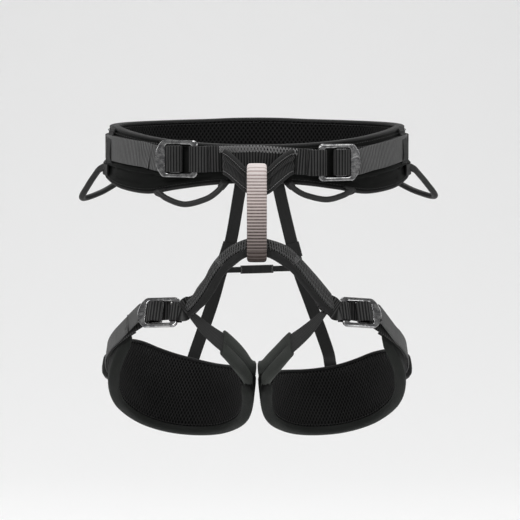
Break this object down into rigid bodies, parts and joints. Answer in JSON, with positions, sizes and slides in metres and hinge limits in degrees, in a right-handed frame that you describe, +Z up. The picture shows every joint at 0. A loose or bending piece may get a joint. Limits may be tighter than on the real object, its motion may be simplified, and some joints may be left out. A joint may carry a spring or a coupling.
{
  "type": "climbing harness",
  "caption": "Sport climbing harness with a padded waist belt, double-back buckles, a sewn belay loop, gear loops, adjustable padded leg loops and elastic rear risers.",
  "frame": {"origin": "centre of the waist opening, at the middle height of the belt's webbing", "axes": "+Z up through the waist opening, -Y to the wearer's front, +X to the wearer's left"},
  "size_m": [0.3511, 0.2335, 0.3205],
  "materials": {
    "shell": "matte",
    "mesh": "matte",
    "webbing": "matte",
    "tail_webbing": "satin",
    "belay_webbing": "matte",
    "moulded_loop": "matte",
    "steel": "polished"
  },
  "bodies": {
    "waist": {"cross_strap": "webbing", "front_webbing": "webbing", "left_junction_sleeve": "webbing", "left_keeper": "webbing", "left_keeper_tab": "webbing", "left_riser": "webbing", "left_side_strap": "webbing", "left_tail": "tail_webbing", "left_waist_buckle_slider": "steel", "right_junction_sleeve": "webbing", "right_keeper": "webbing", "right_keeper_tab": "webbing", "right_riser": "webbing", "right_side_strap": "webbing", "right_tail": "tail_webbing", "right_waist_buckle_slider": "steel", "tie_in_strap": "webbing", "waist_lining": "mesh", "waist_pad": "shell"},
    "leg_loops": {"crosspiece_tube": "webbing", "crosspiece_webbing": "webbing", "left_inner_sleeve": "shell", "left_inner_strap": "webbing", "left_leg_buckle_slider": "steel", "left_leg_keeper": "webbing", "left_leg_lining": "mesh", "left_leg_pad": "shell", "left_leg_strap": "webbing", "left_leg_tail": "tail_webbing", "left_riser_tab": "webbing", "right_inner_sleeve": "shell", "right_inner_strap": "webbing", "right_leg_buckle_slider": "steel", "right_leg_keeper": "webbing", "right_leg_lining": "mesh", "right_leg_pad": "shell", "right_leg_strap": "webbing", "right_leg_tail": "tail_webbing", "right_riser_tab": "webbing"},
    "belay_loop": {"belay_loop": "belay_webbing"},
    "haul_loop": {"haul_loop": "webbing"},
    "left_front_gear_loop": {"left_front_gear_loop": "moulded_loop"},
    "left_leg_buckle_frame": {"left_leg_buckle_frame": "steel"},
    "left_rear_gear_loop": {"left_rear_gear_loop": "moulded_loop"},
    "left_waist_buckle_frame": {"left_waist_buckle_frame": "steel"},
    "right_front_gear_loop": {"right_front_gear_loop": "moulded_loop"},
    "right_leg_buckle_frame": {"right_leg_buckle_frame": "steel"},
    "right_rear_gear_loop": {"right_rear_gear_loop": "moulded_loop"},
    "right_waist_buckle_frame": {"right_waist_buckle_frame": "steel"}
  },
  "joints": [
    {"name": "leg_swing", "type": "hinge", "parent": "waist", "child": "leg_loops", "pos_m": [0, -0.113, -0.0135], "axis": [-1, 0, 0], "range_deg": [-10, 20], "stiffness_Nm_per_rad": 3, "springref_deg": -3.09, "deforming": ["cross_strap", "left_junction_sleeve", "left_riser", "right_junction_sleeve", "right_riser", "tie_in_strap"]},
    {"name": "belay_swing", "type": "hinge", "parent": "waist", "child": "belay_loop", "pos_m": [0, -0.113, -0.0135], "axis": [-1, 0, 0], "range_deg": [-10, 20]},
    {"name": "haul_loop_lift", "type": "hinge", "parent": "waist", "child": "haul_loop", "pos_m": [0, 0.103, 0.014], "axis": [1, 0, 0], "range_deg": [0, 60]},
    {"name": "right_front_gear_loop_flex", "type": "hinge", "parent": "waist", "child": "right_front_gear_loop", "pos_m": [-0.096, -0.079, -0.031], "axis": [-0.9493, 0.2889, -0.1238], "range_deg": [-15, 40], "stiffness_Nm_per_rad": 0.02, "springref_deg": 0.29},
    {"name": "right_rear_gear_loop_flex", "type": "hinge", "parent": "waist", "child": "right_rear_gear_loop", "pos_m": [-0.157, -0.014, -0.014], "axis": [0.4048, 0.905, -0.131], "range_deg": [-15, 40], "stiffness_Nm_per_rad": 0.02, "springref_deg": 1.66},
    {"name": "left_front_gear_loop_flex", "type": "hinge", "parent": "waist", "child": "left_front_gear_loop", "pos_m": [0.092, -0.082, -0.029], "axis": [-0.9586, -0.2655, 0.1032], "range_deg": [-15, 40], "stiffness_Nm_per_rad": 0.02, "springref_deg": 0.29},
    {"name": "left_rear_gear_loop_flex", "type": "hinge", "parent": "waist", "child": "left_rear_gear_loop", "pos_m": [0.157, -0.014, -0.014], "axis": [0.4048, -0.905, 0.131], "range_deg": [-15, 40], "stiffness_Nm_per_rad": 0.02, "springref_deg": 1.66},
    {"name": "right_waist_buckle_tilt", "type": "hinge", "parent": "waist", "child": "right_waist_buckle_frame", "pos_m": [-0.05945, -0.0948, 0.001], "axis": [0, 0, 1], "range_deg": [0, 35]},
    {"name": "right_leg_buckle_tilt", "type": "hinge", "parent": "leg_loops", "child": "right_leg_buckle_frame", "pos_m": [-0.07819, -0.09525, -0.14645], "axis": [0.1045, 0.4973, 0.8613], "range_deg": [0, 35]},
    {"name": "left_waist_buckle_tilt", "type": "hinge", "parent": "waist", "child": "left_waist_buckle_frame", "pos_m": [0.0616, -0.09422, -0.0025], "axis": [0, 0, -1], "range_deg": [0, 35]},
    {"name": "left_leg_buckle_tilt", "type": "hinge", "parent": "leg_loops", "child": "left_leg_buckle_frame", "pos_m": [0.08414, -0.09449, -0.14616], "axis": [0.1045, -0.4973, -0.8613], "range_deg": [0, 35]}
  ],
  "couplings": [
    {"joint": "belay_swing", "follows": "leg_swing", "ratio": 1}
  ]
}
